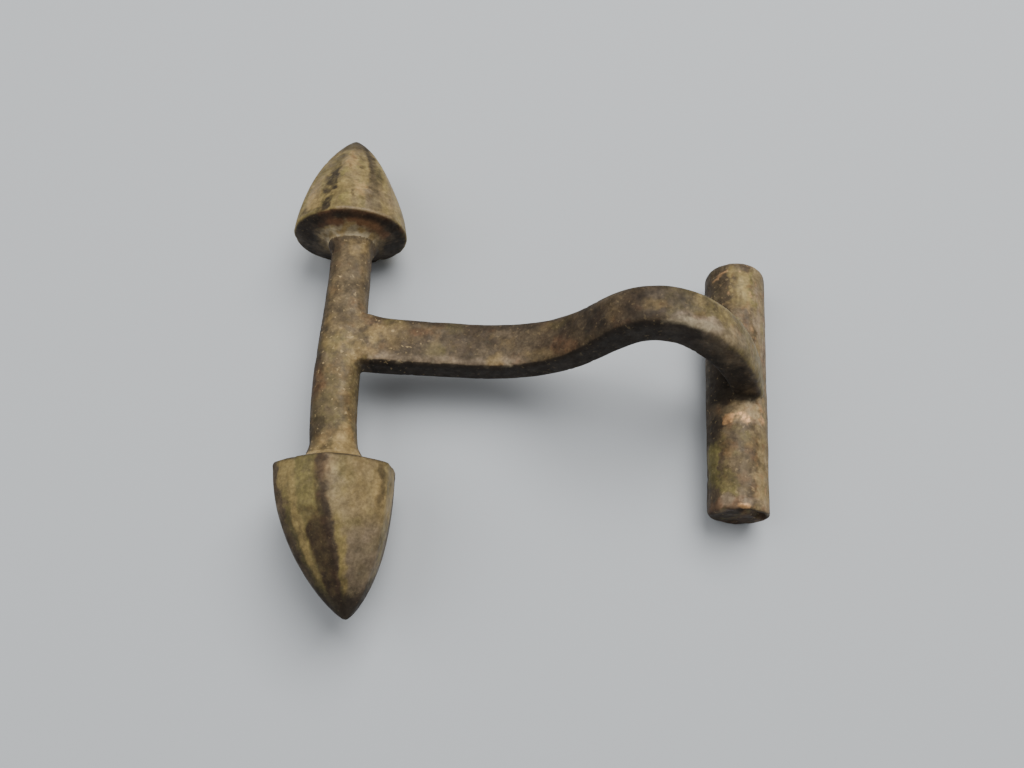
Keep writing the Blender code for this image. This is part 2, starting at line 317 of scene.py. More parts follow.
def rod():
    _, across = bar_axes(-ROD_LEAN)
    half = ROD_LENGTH / 2
    near_end = []
    far_end = []
    for step in range(ROUNDING_STEPS + 1):
        turn = 0.5 * math.pi * step / ROUNDING_STEPS
        back = 1 - math.sin(turn)
        inward = 1 - math.cos(turn)
        near_end.append((ROD_NEAR_ROUNDING * back - half, ROD_NEAR_ROUNDING * inward))
        far_end.append((half - ROD_FAR_ROUNDING * back, ROD_FAR_ROUNDING * inward))
    middle_length = ROD_LENGTH * ROD_MIDDLE_SHARE
    middle = [(middle_length * (step / ROD_STEPS - 0.5), 0.0) for step in range(1, ROD_STEPS)]
    rings = []
    centres = []
    for along, inset in near_end[::-1] + middle + far_end:
        reach = along + ROD_SHIFT
        x = ROD_DISTANCE + reach * math.sin(ROD_LEAN)
        centre = np.array([x, reach * math.cos(ROD_LEAN), rod_radius(along)])
        radii = np.full(ROD_SIDES, rod_radius(along) - inset)
        rings.append(upright_ring(centre, circle_angles(ROD_SIDES), radii, across))
        centres.append(centre)
    return rings, centres[0], centres[-1]


def bezier(points, share):
    """A point of a cubic curve and its direction."""
    a, b, c, d = [np.array(point) for point in points]
    rest = 1 - share
    place = rest**3 * a + 3 * rest**2 * share * b + 3 * rest * share**2 * c + share**3 * d
    slope = 3 * rest**2 * (b - a) + 6 * rest * share * (c - b) + 3 * share**2 * (d - c)
    return place, slope / np.linalg.norm(slope)


def bow_curves():
    """Curves of the middle line in the upright plane: the leg, the ramp up to the crown, and the descent."""
    leg_start = crossbar_height(0.0) - LEG_START_DROP
    leg_end = crossbar_height(0.0) - LEG_END_DROP
    leg_middle = (leg_start + leg_end) / 2
    crown_height = BOW_HEIGHT - BOW_THICKNESS / 2
    crown_x = ROD_DISTANCE - CROWN_TO_ROD
    ramp_x = crown_x - RAMP_LENGTH
    foot_x = ROD_DISTANCE + FOOT_SHIFT
    landing = rod_radius(-ROD_SHIFT)
    foot_height = landing + DESCENT_FOOT_EASE * (crown_height - landing)
    leg = [(0.0, leg_start), (ramp_x / 2, leg_middle), (ramp_x / 2, leg_middle), (ramp_x, leg_end)]
    ramp = [(ramp_x, leg_end), (ramp_x + RAMP_FOOT_EASE * RAMP_LENGTH, leg_end)]
    ramp += [(crown_x - RAMP_CROWN_EASE * RAMP_LENGTH, crown_height), (crown_x, crown_height)]
    descent = [(crown_x, crown_height), (crown_x + DESCENT_CROWN_EASE * CROWN_TO_ROD, crown_height)]
    descent += [(foot_x - FOOT_SLANT, foot_height), (foot_x, landing)]
    return leg, ramp, descent


def bow_stations():
    """Middle line of leg and bow: place and direction in the upright plane, swerve, width and thickness."""
    leg, ramp, descent = bow_curves()
    stations = []
    for step in range(LEG_STEPS):
        place, direction = bezier(leg, step / LEG_STEPS)
        flare = LEG_FLARE * math.exp(-max(place[0] - STEM_WIDTH / 2, 0.0) / FLARE_LENGTH)
        thickness = LEG_THICKNESS + (LEG_END_THICKNESS - LEG_THICKNESS) * place[0] / leg[-1][0]
        stations.append((place, direction, LEG_SWERVE + flare / 2, LEG_WIDTH + flare, thickness))
    hollow = RAMP_THICKNESS - (LEG_END_THICKNESS + BOW_THICKNESS) / 2
    for step in range(RAMP_STEPS):
        share = step / RAMP_STEPS
        place, direction = bezier(ramp, share)
        swerve = between(LEG_SWERVE, BOW_SWERVE, share)
        thickness = between(LEG_END_THICKNESS, BOW_THICKNESS, share) + hollow * math.sin(math.pi * share) ** 2
        stations.append((place, direction, swerve, between(LEG_WIDTH, BOW_WIDTH, share), thickness))
    for step in range(DESCENT_STEPS + 1):
        share = step / DESCENT_STEPS
        place, direction = bezier(descent, share)
        swerve = between(BOW_SWERVE, FOOT_SWERVE, share)
        thickness = between(BOW_THICKNESS, FOOT_THICKNESS, share)
        stations.append((place, direction, swerve, between(BOW_WIDTH, FOOT_WIDTH, share), thickness))
    return stations


STATIONS = bow_stations()


def bow():
    rings = []
    across = np.array([0.0, 1.0, 0.0])
    angles = circle_angles(BOW_SIDES)
    for place, direction, swerve, width, thickness in STATIONS:
        centre = np.array([place[0], swerve, place[1]])
        up = np.array([-direction[1], 0.0, direction[0]])
        squareness = np.where(np.cos(angles) > 0, FAR_SQUARENESS, NEAR_SQUARENESS)
        radii = oval_radius(angles, width / 2, thickness / 2, squareness)
        rise = np.maximum(radii * np.sin(angles), -UNDERSIDE_FLAT * thickness / 2)
        rings.append(centre + (radii * np.cos(angles))[:, None] * across + rise[:, None] * up)
    return rings, rings[0].mean(axis=0), rings[-1].mean(axis=0)


def closed_mesh(name, bodies, shift):
    """One mesh of several closed bodies, each made of rings and a point at either end."""
    body = bmesh.new()
    for rings, first, last in bodies:
        rows = [[body.verts.new((point + shift) * MM) for point in ring] for ring in rings]
        sides = len(rows[0])
        for row, following in zip(rows[:-1], rows[1:]):
            for index in range(sides):
                after = (index + 1) % sides
                body.faces.new((row[index], row[after], following[after], following[index]))
        for point, row in ((first, rows[0]), (last, rows[-1])):
            end = body.verts.new((point + shift) * MM)
            for index in range(sides):
                body.faces.new((row[index], row[(index + 1) % sides], end))
    bmesh.ops.recalc_face_normals(body, faces=body.faces)
    mesh = bpy.data.meshes.new(name)
    body.to_mesh(mesh)
    body.free()
    return mesh


def melted(name, mesh):
    """Melts the overlapping bodies into one even skin."""
    rough = bpy.data.objects.new(name + "_rough", mesh)
    bpy.context.collection.objects.link(rough)
    remesh = rough.modifiers.new("melt", "REMESH")
    remesh.mode = "VOXEL"
    remesh.voxel_size = CELL * MM
    bpy.context.view_layer.update()
    evaluated = rough.evaluated_get(bpy.context.evaluated_depsgraph_get())
    skin = bpy.data.meshes.new_from_object(evaluated)
    skin.name = name
    bpy.data.objects.remove(rough, do_unlink=True)
    solid = bpy.data.objects.new(name, skin)
    bpy.context.collection.objects.link(solid)
    return solid


# Noise, its cells turned off the brooch's own directions
NOISE_TURN = np.array([[0.80, 0.36, -0.48], [-0.60, 0.48, -0.64], [0.0, 0.80, 0.60]])


def lattice(cells, seed):
    """A fixed pseudo-random value from -1 to 1 for each cell corner."""
    x, y, z = [cells[:, axis].astype(np.int64) for axis in range(3)]
    mix = (x * 73856093) ^ (y * 19349663) ^ (z * 83492791) ^ (seed * 2654435761)
    mix = (mix ^ (mix >> 13)) * 1274126177
    mix = (mix ^ (mix >> 16)) & 0xFFFFFF
    return mix / float(0xFFFFFF) * 2 - 1


def grain(points, size, seed=0):
    """Smooth noise from about -1 to 1 whose lumps are about this size."""
    scaled = points @ NOISE_TURN / size + 100.0 * (seed + 1)
    base = np.floor(scaled)
    part = scaled - base
    part = part * part * (3 - 2 * part)
    total = np.zeros(len(points))
    for corner in range(8):
        offset = np.array([corner & 1, (corner >> 1) & 1, (corner >> 2) & 1])
        weight = np.prod(np.where(offset == 1, part, 1 - part), axis=1)
        total += weight * lattice(base + offset, seed)
    return total


def layered(points, size, seed=0, layers=3):
    total = np.zeros(len(points))
    for layer in range(layers):
        total += grain(points, size / 2**layer, seed + 11 * layer) * 0.5**layer
    return total


# Reading and writing the skin

def read(items, name, width, kind=float):
    """One row for each point, normal or edge of a mesh."""
    flat = np.empty(len(items) * width, kind)
    items.foreach_get(name, flat)
    return flat.reshape(-1, width)


def read_normals(mesh):
    return read(mesh.vertex_normals, "vector", 3, np.float32).astype(float)


def write_points(mesh, points):
    mesh.vertices.foreach_set("co", (points * MM).ravel())
    mesh.update()


def neighbour_mean(values, edges, counts):
    total = np.zeros_like(values)
    for axis in range(values.shape[1]):
        total[:, axis] = np.bincount(edges[:, 0], values[edges[:, 1], axis], len(values))
        total[:, axis] += np.bincount(edges[:, 1], values[edges[:, 0], axis], len(values))
    return total / counts[:, None]


def relax(points, edges, rounds, strength):
    """Evens out a skin without shrinking it; where strength is high it also fills the creases."""
    counts = np.maximum(np.bincount(edges.ravel(), minlength=len(points)), 1)
    for _ in range(rounds):
        points = points + RELAX_STEP * (neighbour_mean(points, edges, counts) - points)
        back = RELAX_BACK * (1 - strength)[:, None]
        points = points + back * (neighbour_mean(points, edges, counts) - points)
    return points


class Places:
    """Where each point of the skin is on the crossbar, the rod and the bow."""

    def __init__(self, own):
        along_bar, across_bar = bar_axes(CROSSBAR_LEAN)
        self.bar_along = own @ along_bar - CROSSBAR_SHIFT
        drift = crossbar_drift(self.bar_along) * math.cos(CROSSBAR_LEAN)
        self.bar_across = own @ across_bar - drift
        self.bar_up = own[:, 2] - crossbar_height(self.bar_along)
        self.bar_angle = np.degrees(np.arctan2(self.bar_up, self.bar_across)) % 360
        self.bar_radius = np.hypot(self.bar_up, self.bar_across)
        half = CROSSBAR_SPAN / 2
        neck = half - UNDERSIDE_DEPTH - KNOB_MARGIN
        self.in_far_knob = (self.bar_along > neck) & (self.bar_radius < KNOB_REACH)
        self.in_near_knob = (self.bar_along < -neck) & (self.bar_radius < KNOB_REACH)
        self.in_far_knob |= (self.bar_along > half) & (own[:, 0] < KNOB_SIDE_END)
        self.in_near_knob |= (self.bar_along < -half) & (own[:, 0] < KNOB_SIDE_END)
        self.beyond_rim = np.abs(self.bar_along) - half
        along_rod, across_rod = bar_axes(-ROD_LEAN)
        from_rod = own - np.array([ROD_DISTANCE, 0.0, 0.0])
        self.rod_along = from_rod @ along_rod - ROD_SHIFT
        self.rod_across = from_rod @ across_rod
        self.rod_up = own[:, 2] - rod_radius(self.rod_along)
        self.rod_angle = np.degrees(np.arctan2(self.rod_up, self.rod_across)) % 360
        self.rod_distance = np.hypot(self.rod_up, self.rod_across)
        self.in_rod = self.rod_distance < rod_radius(self.rod_along) + ROD_MARGIN
        places, directions, swerves, widths, _ = [np.array(column) for column in zip(*STATIONS)]
        nearest = np.zeros(len(own), int)
        for start in range(0, len(own), POINTS_AT_ONCE):
            end = start + POINTS_AT_ONCE
            gaps = ((own[start:end, None, ::2] - places[None, :, :]) ** 2).sum(axis=2)
            nearest[start:end] = gaps.argmin(axis=1)
        ups = np.stack([-directions[:, 1], directions[:, 0]], axis=1)[nearest]
        self.bow_up = ((own[:, [0, 2]] - places[nearest]) * ups).sum(axis=1)
        self.bow_across = own[:, 1] - swerves[nearest]
        half_widths = widths[nearest] / 2
        self.bow_edge = self.bow_across + half_widths
        self.bow_far_edge = half_widths - self.bow_across
        self.in_knob = self.in_far_knob | self.in_near_knob
        self.in_stem = ~self.in_knob & (self.bar_radius < STEM_REACH) & (own[:, 0] < STEM_SIDE_END)
        self.in_bow = ~(self.in_knob | self.in_rod | self.in_stem)


def band(value, low, high, soft):
    """1 between low and high, easing to 0 over the soft distance on either side."""
    return smooth(low - soft, low, value) * (1 - smooth(high, high + soft, value))


def bell(value, centre, width):
    """1 at the centre, fading over the width on either side."""
    return np.exp(-((value - centre) / width) ** 2)


def most(*amounts):
    """The largest of several amounts at each point."""
    return functools.reduce(np.maximum, amounts)


def blotch(step, wavy, centre, reach):
    """A rounded patch on a bar: the centre and the reach are a distance along it and an angle round it."""
    gap = np.hypot((step - centre[0]) / reach[0], (wavy - centre[1]) / reach[1])
    return 1 - smooth(0.5, 1.2, gap)


def spot(points, centre, radius, stretch=(1.0, 1.0, 1.0)):
    """A soft round patch with a ragged edge."""
    ragged = 0.35 * layered(points, 1.3, seed=5)
    gap = np.linalg.norm((points - np.array(centre)) / np.array(stretch), axis=1) / radius + ragged
    return 1 - smooth(0.45, 1.1, gap)


def groove(points, start, end, width):
    """1 on a line between two points, easing to 0 at the width."""
    a = np.array(start)
    b = np.array(end)
    share = np.clip(((points - a) @ (b - a)) / ((b - a) @ (b - a)), 0.0, 1.0)
    gap = np.linalg.norm(points - (a + share[:, None] * (b - a)), axis=1)
    return 1 - smooth(0.2 * width, width, gap)


def streaked(first, second, along, shrink=0.3):
    """Points drawn together along a bar, so that noise over them runs in streaks."""
    return np.stack([first, along * shrink, second], axis=1)


# Wear and relief

def worn(points, normals, where):
    """Moves the skin in and out: hammer marks, pits, chips, the knobs' lips and the rod's torn end."""
    rod_frame = streaked(where.rod_across, where.rod_up, where.rod_along, 0.12)
    knobs = where.in_knob.astype(float)
    rough = 1 - 0.75 * knobs
    move = 0.045 * grain(points, 4.6, seed=1) + 0.028 * rough * grain(points, 1.9, seed=2)
    move += 0.016 * rough * grain(points, 0.8, seed=3)
    move -= 0.05 * rough * smooth(0.35, 0.8, grain(points, 0.6, seed=4))
    move -= 0.035 * knobs * smooth(0.45, 0.85, grain(points, 0.75, seed=14))
    move += 0.02 * where.in_rod * grain(rod_frame, 0.4, seed=6)

    # The knobs' rims: a thin turned lip, and chips out of it
    rim = bell(where.beyond_rim, 0.25, 0.22) * knobs
    move += 0.05 * rim
    edge = bell(where.beyond_rim, 0.0, 0.35) * knobs
    move -= 0.16 * edge * smooth(0.3, 0.75, grain(points, 1.1, seed=7))

    # The leg runs over the stem with a step on its far side
    move -= 0.13 * groove(points, (1.1, 3.3, 8.0), (3.2, 2.5, 7.0), 0.35)

    # The rod's near end: a torn crescent inside its rim and a hollowed face
    face_radius = np.hypot(where.rod_across, where.rod_up)
    near_face = smooth(-13.9, -14.3, where.rod_along) * where.in_rod
    crescent = band(face_radius, 1.95, 2.5, 0.3) * band(where.rod_angle, 5, 100, 14)
    on_face = streaked(where.rod_across, where.rod_up, where.rod_along, 0.0)
    slash = groove(on_face, (-0.6, 0.0, 2.3), (2.3, 0.0, 0.4), 0.55)
    move -= near_face * (0.5 * np.maximum(crescent, slash) + 0.12 * smooth(2.4, 1.6, face_radius))
    move += near_face * 0.1 * grain(points, 0.9, seed=8)

    # A gouge on the rod's far end
    move -= 0.12 * groove(points, (40.2, 11.3, 5.0), (41.5, 11.8, 6.3), 0.4)
    return points + normals * move[:, None]


# Paint

def facing(normals, direction):
    """How far each point of the skin faces a direction, from -1 to 1."""
    return normals @ (np.array(direction) / np.linalg.norm(direction))


def knob_tints(points, normals, where, outside, under):
    """Tints of the two knobs: tan faces, dark bands along the ridges, dark tips and undersides partly of
    painted shade, and painted light on the far knob's collar.
    """
    far = where.in_far_knob.astype(float)
    near = where.in_near_knob.astype(float)
    along = where.bar_along
    angle = where.bar_angle
    streaks = layered(streaked(where.bar_across, where.bar_up, along), 1.0, seed=21)
    lumps = layered(points, 1.4, seed=29)
    fine = layered(points, 0.6, seed=47)
    wavy = angle + 4.0 * streaks + 2.0 * lumps + 4.5 * fine
    calm = angle + 2.0 * streaks + 1.0 * lumps + 2.5 * fine
    step = along + 0.5 * lumps + 0.4 * fine
    mottle = np.clip(0.92 + 0.25 * fine + 0.18 * lumps, 0.6, 1.15)

    def patch(amount, centre, reach):
        """A blotch on the outside of the knob whose faces are being painted."""
        return amount * face * blotch(step, wavy, centre, reach)

    # Near knob, from its right face round to its left side
    face = near * outside
    strip = most(
        face * band(calm, 120, 127, 6) * smooth(-26.5, -24.5, step),
        face * band(wavy, 128, 136, 6) * smooth(-20.0, -16.0, step),
    )
    ridge_strip = face * band(calm, 71, 79, 6) * band(step, -26.3, -21.0, 1.8)
    grey = face * band(wavy, 24, 66, 12) * smooth(-18.8, -22.4, step)
    ridge_shade = band(calm, 85.5, 94.5, 7)
    wedge = face * band(calm, 88, 112, 7) * smooth(-18.2, -21.0, step)
    side_ridge = face * band(calm, 30, 34, 5)
    light = most(
        0.8 * face * smooth(94, 78, calm) * (1 - 0.8 * smooth(-19.0, -24.5, step)),
        0.5 * face * smooth(32, 18, wavy),
        0.28 * face * band(wavy, 98, 137, 8) * smooth(-21.5, -17.0, step),
    )
    ochre = most(
        0.62 * face * smooth(92, 76, calm) * smooth(-22.5, -17.5, step) * (0.8 + 0.6 * streaks),
        0.5 * strip,
        0.45 * ridge_strip,
    )
    olive = most(
        0.6 * face * band(wavy, 96, 132, 9),
        0.6 * strip,
        0.7 * ridge_strip,
        0.55 * face * smooth(90, 76, wavy) * (0.5 + 0.5 * lumps),
    )
    rose = most(0.3 * face * band(calm, 77, 86, 6) * smooth(-21.0, -17.0, step), 0.55 * grey)
    dark = most(
        (0.5 + 0.22 * smooth(-15.0, -19.0, step)) * face * ridge_shade * mottle,
        0.8 * wedge * (0.5 + 0.5 * mottle),
        0.58 * face * band(calm, 130, 152, 4) * smooth(-17.0, -20.5, step),
        0.26 * face * band(wavy, 136, 150, 8),
        0.28 * face * smooth(146, 160, wavy) * smooth(260, 230, angle),
        0.42 * grey * mottle,
        0.42 * face * smooth(0.0, 0.8, streaks) * band(angle, 96, 130, 8),
        0.36 * face * smooth(0.25, 0.9, lumps + 0.4 * fine) * smooth(90, 76, wavy),
        # Painted shade on the near knob's tip, which turns away from the light
        0.92 * near * smooth(-24.0, -27.4, step),
        # A painted shadow line along the near knob's right ridge
        0.55 * side_ridge * band(step, -18.2, -15.2, 1.4),
        0.25 * side_ridge * smooth(-24.0, -18.0, step),
        patch(0.3, (-15.4, 50.0), (1.0, 14.0)),
        0.5 * near * bell(where.beyond_rim, 0.05, 0.35),
    )
    rust = most(0.55 * wedge, 0.3 * face * ridge_shade)

    # Far knob, from its right side over the top to its left side
    face = far * outside
    seam = np.interp(along, [14.3, 16.4, 19.2, 22.0, 24.5], [52.0, 50.0, 45.0, 41.0, 41.0])
    off_seam = calm - seam
    orange = most(blotch(step, wavy, (23.2, 83.0), (1.9, 9.0)), blotch(step, wavy, (17.9, 66.0), (1.5, 6.0)))
    shade = face * band(off_seam, -2, 10, 8)
    blotches = most(
        blotch(step, wavy, (19.8, 111.0), (2.4, 13.0)),
        0.85 * blotch(step, wavy, (18.0, 116.0), (1.4, 9.0)),
        0.95 * blotch(step, wavy, (15.6, 111.0), (1.3, 9.0)),
        0.62 * blotch(step, wavy, (22.4, 113.0), (3.2, 15.0)),
    )
    light = np.maximum(light, 0.58 * face * (1 - 0.5 * smooth(23.5, 26.5, step)))
    ochre = most(
        ochre, 0.5 * face * (0.8 + 0.5 * lumps),
        patch(0.9, (22.9, 83.0), (2.6, 13.0)),
        patch(0.95, (17.9, 66.0), (1.9, 8.0)),
        patch(0.8, (16.5, 130.0), (2.2, 11.0)),
    )
    olive = most(
        olive, face * (0.5 + 0.35 * streaks + 0.25 * lumps),
        patch(1.0, (16.2, 86.0), (1.6, 10.0)),
        patch(0.9, (15.6, 118.0), (1.1, 8.0)),
        patch(0.8, (20.4, 92.0), (1.6, 8.0)),
    )
    rose = most(
        rose, patch(0.5, (18.6, 135.0), (2.6, 10.0)),
        0.3 * face * band(wavy, 10, 32, 10),
        0.55 * shade * smooth(19.6, 17.0, step),
    )
    rust = np.maximum(rust, 0.42 * face * orange * mottle)
    dark = most(
        dark, (0.52 + 0.2 * smooth(18.0, 21.0, step)) * shade * mottle,
        0.92 * face * blotches * mottle,
        0.3 * face * band(wavy, 118, 150, 10) * smooth(17.6, 20.0, step) * mottle,
        0.36 * face * smooth(0.05, 0.7, streaks + 0.6 * fine) * band(angle, 50, 150, 10),
        0.62 * face * band(wavy, 112, 144, 7) * bell(step, 14.9, 0.45),
        0.62 * face * blotch(step, calm, (17.0, 77.0), (0.8, 3.5)),
        0.55 * face * blotch(step, calm, (21.8, 68.0), (0.6, 4.5)),
        0.5 * face * blotch(step, calm, (23.6, 66.0), (1.1, 5.0)),
        0.32 * face * smooth(0.2, 0.9, lumps + 0.4 * fine),
        0.7 * far * smooth(24.0, 26.8, step),
        0.38 * face * smooth(148, 172, wavy) * smooth(350, 330, angle),
    )

    # The lip of the far knob: a pale line and touches of green, both painted highlight, and a dark line under
    # it
    lip_highlight = far * bell(where.beyond_rim, 0.18, 0.16)
    dark_lip = far * bell(where.beyond_rim, -0.25, 0.25)
    dark = np.maximum(dark * (1 - 0.85 * lip_highlight * band(wavy, 38, 92, 9)), 0.8 * dark_lip)
    rose = np.maximum(rose, 0.95 * lip_highlight * band(wavy, 38, 92, 9))
    olive = np.maximum(olive, 0.85 * lip_highlight * smooth(92, 106, wavy))

    # Undersides: dark and rusty, with painted shade on the faces turned down and away, and a tan collar round
    # the stem made paler by painted light
    upward = normals[:, 2]
    shadow = smooth(0.1, 0.8, facing(normals, (-1.0, -0.4, -1.0)))
    far_under = under * far
    off_bar = where.bar_radius + 0.5 * lumps + 0.3 * fine
    collar = under * smooth(4.5, 3.3, off_bar) * smooth(-0.5, 0.2, upward)
    dark = most(
        dark, under * (0.22 + 0.64 * smooth(100, 150, wavy)) * mottle,
        0.9 * under * shadow * (1 - 0.82 * far * smooth(100, 60, wavy)),
    )
    dark *= 1 - 0.95 * collar
    rusty = smooth(-0.6, 0.3, lumps) * smooth(150, 115, wavy)
    rust = np.maximum(rust, 0.95 * far_under * rusty * (1 - collar))
    collar *= 0.45 + 0.55 * smooth(-0.1, 0.4, upward)
    olive = most(olive, 0.7 * far_under * smooth(5.0, 6.0, where.bar_radius) * smooth(0.0, 0.6, fine + lumps))
    light = most(
        light, 0.95 * collar,
        # Painted light on the lower right of the far knob's underside
        0.5 * far_under * smooth(100, 60, wavy) * smooth(-0.4, 0.5, fine + lumps),
    )
    ochre = np.maximum(ochre, 0.9 * collar * mottle)
    pale = collar * far * smooth(-0.9, 0.2, fine) * smooth(-0.1, 0.3, upward)
    return dict(light=light, ochre=ochre, olive=olive, rose=rose, dark=dark, rust=rust, pale=pale)


def bar_tints(points, normals, where):
    """Tints of the stem and of the leg and bow."""
    on_stem = where.in_stem.astype(float)
    on_bow = where.in_bow.astype(float)
    both = np.maximum(on_stem, on_bow)
    upward = normals[:, 2]
    lumps = layered(points, 2.0, seed=31)
    small = layered(points, 0.9, seed=32)
    reach = points[:, 0] - RUBBED_END + 0.8 * lumps
    top = smooth(0.25, 0.8, np.maximum(upward, facing(normals, (1.0, 0.0, 0.6))))

    light = most(
        0.36 * on_stem * top,
        0.14 * on_bow * top * (1 - 0.9 * band(reach, -2.5, 11.0, 2.5)),
        0.5 * on_bow * top * smooth(16.5, 20.0, reach),
    )

    ochre = most(
        0.8 * spot(points, (1.6, 0.2, 8.2), 3.8, (1.2, 0.9, 1.0)) * smooth(-0.7, 0.4, small),
        0.95 * spot(points, (2.1, -11.7, 8.2), 2.1, (0.9, 1.2, 1.0)),
        0.55 * spot(points, (-0.5, -12.2, 8.2), 1.4),
        0.55 * spot(points, (0.2, 11.2, 8.7), 2.2, (1.3, 0.7, 1.0)),
        0.7 * spot(points, (16.5, -1.7, 7.4), 1.3, (1.0, 0.9, 1.0)),
        0.45 * spot(points, (5.4, 1.0, 7.6), 2.4, (1.2, 0.7, 1.0)),
        0.5 * spot(points, (31.5, 0.5, 16.7), 1.1, (1.2, 0.8, 1.0)),
        0.4 * spot(points, (35.5, 1.3, 16.4), 1.3),
        0.4 * spot(points, (21.4, -1.5, 8.8), 1.6, (1.5, 0.7, 1.0)),
        0.26 * both * top * smooth(0.0, 0.7, lumps),
    )

    # The near edge of the top is pink along the leg, partly rubbed and partly painted highlight, and carries
    # a painted pale highlight along the leg and past the crown
    edge = on_bow * smooth(1.5, 0.5, where.bow_edge + 0.25 * small) * smooth(0.2, 0.55, upward)
    rubbed = smooth(0.1, 0.8, grain(points, 2.6, seed=33)) * smooth(-1.0, -4.0, reach)
    rose = most(
        0.75 * edge * smooth(1.0, -2.5, reach),
        0.95 * spot(points, (35.2, -1.0, 16.5), 3.1, (1.3, 0.42, 1.0)),
        0.5 * spot(points, (39.4, -1.4, 14.2), 2.4, (1.0, 0.6, 1.0)),
        0.32 * on_bow * top * rubbed,
    )
    pale = most(
        0.6 * spot(points, (34.9, -1.2, 16.5), 2.4, (1.4, 0.3, 1.0)) * smooth(0.3, 0.7, upward),
        0.4 * edge * smooth(1.0, -2.5, reach) * smooth(0.1, 0.8, small),
    )

    nearer = smooth(0.3, -0.3, (points[:, 1] + 0.8) / 12 - 0.2 * lumps)
    olive = most(
        0.42 * both * top * smooth(0.1, 0.9, layered(points, 2.8, seed=25)),
        0.38 * on_bow * top * smooth(10.0, 15.0, reach),
        0.3 * on_stem * nearer * top,
        0.5 * spot(points, (32.9, -0.7, 16.7), 0.9),
    )

    rust = most(
        0.6 * spot(points, (-2.2, -5.0, 7.6), 1.9, (1.0, 1.5, 1.0)),
        0.6 * spot(points, (0.9, 8.5, 8.2), 0.9),
        0.5 * spot(points, (8.1, 1.1, 7.5), 1.2, (1.6, 0.7, 1.0)),
        0.5 * spot(points, (23.2, -0.9, 10.0), 2.2, (1.2, 0.7, 1.0)),
        0.3 * both * smooth(0.1, 0.8, layered(points, 1.7, seed=27)),
    )

    # The near side of the leg and bow keeps its dark skin up to a crisp edge, deepened by painted shade;
    # painted shade also darkens the faces turned down and the faces turned to the far side
    turned = 0.24 * smooth(16.5, 21.0, reach)
    near_side = on_bow * smooth(-0.5, -0.72 - turned, normals[:, 1])
    rolled = smooth(15.0, 18.5, reach) * smooth(-1.6, 0.9, where.bow_up + 0.4 * small)
    far_edge = on_bow * smooth(2.3, 0.5, where.bow_far_edge + 0.5 * lumps) * smooth(12.0, 8.0, reach)
    across = where.bar_across + 0.35 * lumps + 0.2 * small
    dark = most(
        0.95 * near_side * (1 - 0.78 * rolled),
        0.75 * on_bow * smooth(-0.1, -0.6, upward),
        0.5 * on_bow * smooth(0.35, 0.75, normals[:, 1]),
        0.62 * far_edge * smooth(-14.5, -12.0, reach),
        0.38 * on_bow * band(reach, -13.0, -4.0, 2.0) * (0.9 + 0.4 * small),
        0.5 * on_bow * band(reach, 0.8, 10.0, 2.2) * (0.8 + 0.4 * small),
        0.75 * spot(points, (25.8, 0.6, 12.9), 2.4, (1.0, 0.9, 1.0)),
        0.65 * spot(points, (23.6, 0.8, 10.6), 1.8),
        0.6 * on_bow * band(reach, 9.0, 14.5, 2.0) * (0.85 + 0.35 * small),
        # Painted shadow on the low near side of the bow's foot and on the rod under it
        0.9 * spot(points, (40.2, -3.4, 8.6), 3.2, (1.0, 0.8, 1.2)),
        # The stem darkens towards its -X side, and painted shade darkens its underside
        0.5 * on_stem * smooth(-0.7, -1.5, across),
        0.72 * on_stem * smooth(-1.5, -2.1, across),
        0.55 * on_stem * smooth(0.3, -0.2, upward),
        0.6 * spot(points, (-1.0, -10.4, 8.4), 1.6, (0.8, 1.0, 1.0)),
        0.34 * both * smooth(0.1, 0.7, layered(points, 1.8, seed=22)),
    )
    return dict(light=light, ochre=ochre, olive=olive, rose=rose, dark=dark, rust=rust, pale=pale)


